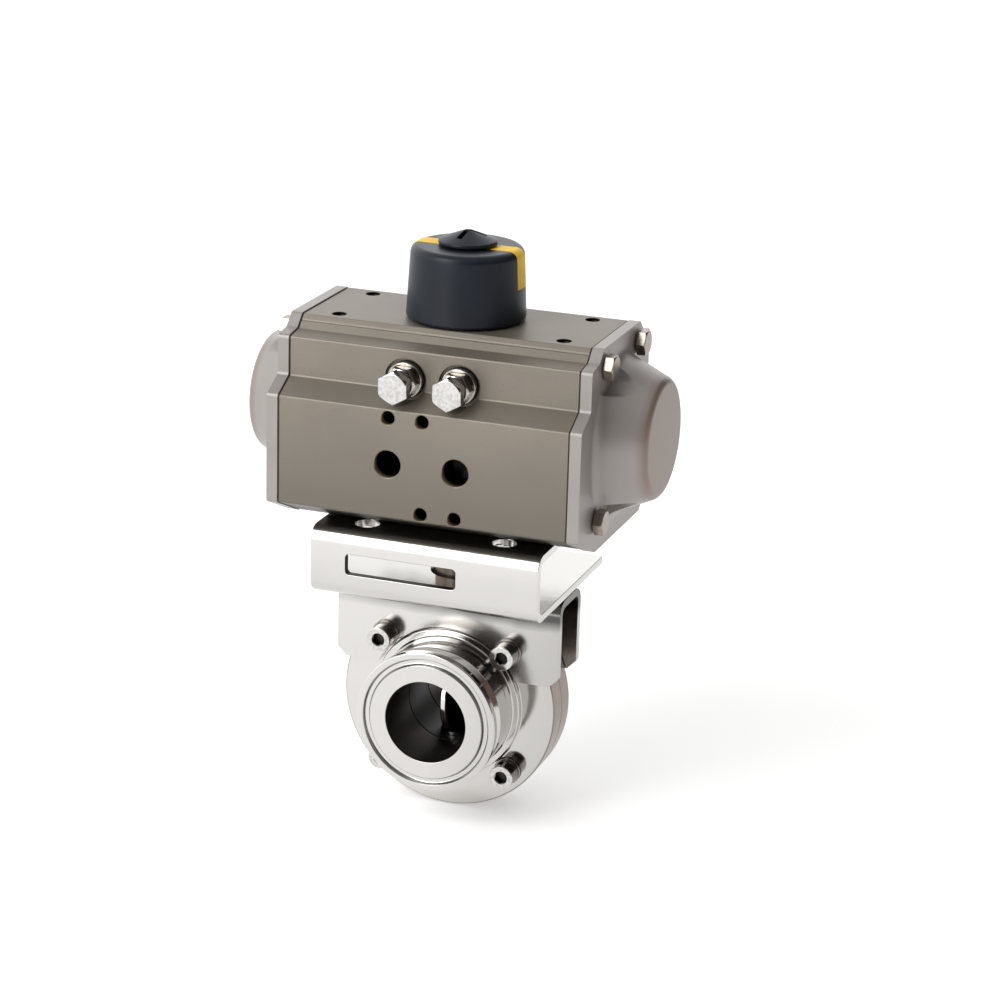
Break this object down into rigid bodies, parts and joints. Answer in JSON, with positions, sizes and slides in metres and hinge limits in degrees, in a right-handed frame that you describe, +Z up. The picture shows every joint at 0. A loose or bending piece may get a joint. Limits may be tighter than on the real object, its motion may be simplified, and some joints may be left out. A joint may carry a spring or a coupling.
{
  "type": "pneumatic sanitary butterfly valve",
  "caption": "Quarter-turn butterfly valve with clamp ends, driven through a steel bracket by a double-acting rack-and-pinion air actuator with a position indicator.",
  "frame": {"origin": "centre of the valve, where the flow axis crosses the shaft axis", "axes": "+Y along the pipe from the front ferrule to the rear one, +Z up the shaft axis to the indicator, +X along the actuator to its right-hand end cap"},
  "size_m": [0.143, 0.0769, 0.2052],
  "materials": {
    "anodised_body": "satin hard-anodised, taupe grey",
    "cast_cap": "die cast, silver-grey powder coat",
    "bright_steel": "polished stainless steel",
    "satin_steel": "turned and lightly polished stainless steel",
    "black_plastic": "moulded, satin black",
    "yellow_plastic": "moulded, yellow",
    "black_rubber": "black elastomer",
    "white_acetal": "machined, off-white",
    "bare_aluminium": "die cast and turned, bare"
  },
  "bodies": {
    "housing": {"actuator_body": "anodised_body", "end_cap_left": "cast_cap", "end_cap_right": "cast_cap", "cap_gasket_left": "black_rubber", "cap_gasket_right": "black_rubber", "cap_screw_left_top_front": "bright_steel", "cap_screw_left_top_rear": "bright_steel", "cap_screw_left_bottom_front": "bright_steel", "cap_screw_left_bottom_rear": "bright_steel", "cap_screw_right_top_front": "bright_steel", "cap_screw_right_top_rear": "bright_steel", "cap_screw_right_bottom_front": "bright_steel", "cap_screw_right_bottom_rear": "bright_steel", "pinion_bush_bottom": "white_acetal", "pinion_bush_top": "white_acetal", "pinion_washer": "white_acetal", "stop_screw_left": "bright_steel", "stop_screw_right": "bright_steel", "stop_nut_left": "bright_steel", "stop_nut_right": "bright_steel", "stop_washer_left": "bright_steel", "stop_washer_right": "bright_steel", "stop_seal_left": "black_rubber", "stop_seal_right": "black_rubber", "bracket_frame": "bright_steel", "bracket_saddle": "bright_steel", "foot_bolt_front_left": "bright_steel", "foot_bolt_front_right": "bright_steel", "foot_bolt_rear_left": "bright_steel", "foot_bolt_rear_right": "bright_steel", "valve_body_front": "satin_steel", "valve_body_rear": "satin_steel", "valve_seat": "black_rubber", "stem_bush": "white_acetal", "body_screw_top_left": "bright_steel", "body_screw_top_right": "bright_steel", "body_screw_bottom_left": "bright_steel", "body_screw_bottom_right": "bright_steel", "lock_washer_top_left": "bright_steel", "lock_washer_top_right": "bright_steel", "lock_washer_bottom_left": "bright_steel", "lock_washer_bottom_right": "bright_steel", "body_nut_top_left": "bright_steel", "body_nut_top_right": "bright_steel", "body_nut_bottom_left": "bright_steel", "body_nut_bottom_right": "bright_steel"},
    "shaft": {"pinion": "satin_steel", "shaft_seal_bottom": "black_rubber", "shaft_seal_top": "black_rubber", "snap_ring": "bright_steel", "stop_cam": "satin_steel", "indicator_cap": "black_plastic", "indicator_stripe": "yellow_plastic", "indicator_knob": "black_plastic", "stem_coupling": "satin_steel", "valve_disc": "bright_steel"},
    "left_piston": {"piston_left": "bare_aluminium", "piston_seal_left": "black_rubber"},
    "right_piston": {"piston_right": "bare_aluminium", "piston_seal_right": "black_rubber"}
  },
  "joints": [
    {"name": "shaft_turn", "type": "hinge", "parent": "housing", "child": "shaft", "pos_m": [0, 0, 0], "axis": [0, 0, -1], "range_deg": [0, 90]},
    {"name": "left_piston_slide", "type": "slide", "parent": "housing", "child": "left_piston", "axis": [1, 0, 0], "range_m": [0, 0.01571]},
    {"name": "right_piston_slide", "type": "slide", "parent": "housing", "child": "right_piston", "axis": [-1, 0, 0], "range_m": [0, 0.01571]}
  ],
  "couplings": [
    {"joint": "left_piston_slide", "follows": "shaft_turn", "m_per_rad": 0.01},
    {"joint": "right_piston_slide", "follows": "shaft_turn", "m_per_rad": 0.01}
  ]
}
